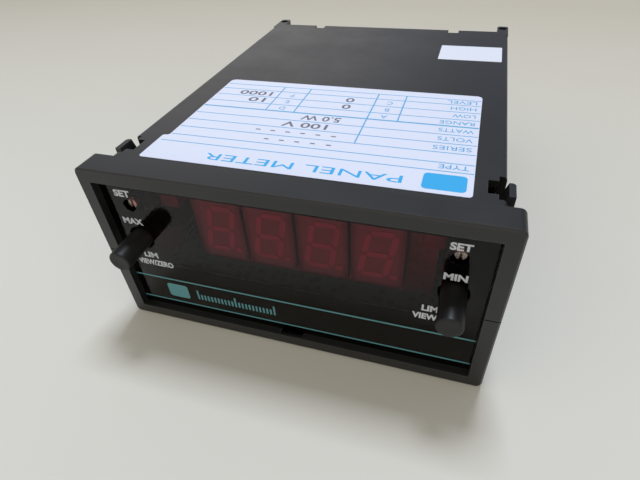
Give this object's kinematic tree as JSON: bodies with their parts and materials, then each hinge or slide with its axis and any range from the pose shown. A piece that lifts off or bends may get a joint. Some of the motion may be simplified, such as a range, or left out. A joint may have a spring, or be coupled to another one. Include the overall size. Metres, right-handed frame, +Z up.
{
  "type": "digital panel meter",
  "caption": "Digital panel meter with a red window over a figure display, two alarm push buttons and two adjusting screws, in a plastic case that snaps into a panel cut-out.",
  "frame": {"origin": "bottom centre of the whole meter's box, with the bezel's lower edge at height zero", "axes": "+X to the right as the display is read, +Y from the display to the rear terminals, +Z up"},
  "size_m": [0.096, 0.1324, 0.048],
  "materials": {
    "case_plastic": "moulded black plastic with a fine eroded grain",
    "window_filter": "polished dark red acrylic, printed black round the display",
    "cover_plastic": "moulded black plastic",
    "circuit_board": "glass fibre board with green solder mask",
    "module_body": "grey moulded display body",
    "segment_resin": "diffused pale red resin",
    "lamp_resin": "diffused red resin",
    "button_plastic": "moulded black plastic",
    "switch_plastic": "moulded black plastic",
    "trimmer_case": "moulded blue plastic",
    "screw_brass": "plated brass",
    "steel_pin": "bright steel",
    "core_iron": "varnished iron sheets",
    "coil_tape": "yellow insulating tape",
    "capacitor_sleeve": "shrunk sleeve",
    "sink_aluminium": "plain folded sheet",
    "chip_resin": "moulded resin",
    "fuse_glass": "clear glass",
    "clip_brass": "plated brass sheet",
    "relay_case": "moulded case",
    "link_plastic": "moulded strip with pins",
    "terminal_plastic": "moulded terminal plastic",
    "clamp_steel": "plated steel screws"
  },
  "bodies": {
    "housing": {"upper_shell": "case_plastic", "lower_shell": "case_plastic", "window": "window_filter", "rear_cover": "cover_plastic", "main_board": "circuit_board", "alarm_board": "circuit_board", "display_board": "circuit_board", "transformer_core": "core_iron", "transformer_coil": "coil_tape", "filter_capacitor_1": "capacitor_sleeve", "filter_capacitor_2": "capacitor_sleeve", "heat_sink": "sink_aluminium", "regulator": "chip_resin", "fuse": "fuse_glass", "fuse_clips": "clip_brass", "converter_chip": "chip_resin", "logic_chip": "chip_resin", "comparator_chip": "chip_resin", "alarm_relay_1": "relay_case", "alarm_relay_2": "relay_case", "display_link": "link_plastic", "alarm_link": "link_plastic", "signal_header": "terminal_plastic", "signal_plug": "terminal_plastic", "relay_header": "terminal_plastic", "relay_plug": "terminal_plastic", "digit_1": "module_body", "digit_segments_1": "segment_resin", "digit_2": "module_body", "digit_segments_2": "segment_resin", "digit_3": "module_body", "digit_segments_3": "segment_resin", "digit_4": "module_body", "digit_segments_4": "segment_resin", "left_case_pin": "steel_pin", "left_alarm_lamp": "lamp_resin", "left_switch": "switch_plastic", "left_trimmer": "trimmer_case", "right_case_pin": "steel_pin", "right_alarm_lamp": "lamp_resin", "right_switch": "switch_plastic", "right_trimmer": "trimmer_case"},
    "left_push": {"left_button": "button_plastic"},
    "right_push": {"right_button": "button_plastic"},
    "left_adjuster": {"left_trimmer_screw": "screw_brass"},
    "right_adjuster": {"right_trimmer_screw": "screw_brass"}
  },
  "joints": [
    {"name": "left_button_press", "type": "slide", "parent": "housing", "child": "left_push", "axis": [0, 1, 0], "range_m": [0, 0.0015], "stiffness_N_per_m": 1000, "springref_m": -0.0005},
    {"name": "right_button_press", "type": "slide", "parent": "housing", "child": "right_push", "axis": [0, 1, 0], "range_m": [0, 0.0015], "stiffness_N_per_m": 1000, "springref_m": -0.0005},
    {"name": "left_screw_turn", "type": "hinge", "parent": "housing", "child": "left_adjuster", "pos_m": [-0.0378, -0.05475, 0.0378], "axis": [0, 1, 0], "continuous": true},
    {"name": "right_screw_turn", "type": "hinge", "parent": "housing", "child": "right_adjuster", "pos_m": [0.0378, -0.05475, 0.0378], "axis": [0, 1, 0], "continuous": true}
  ]
}
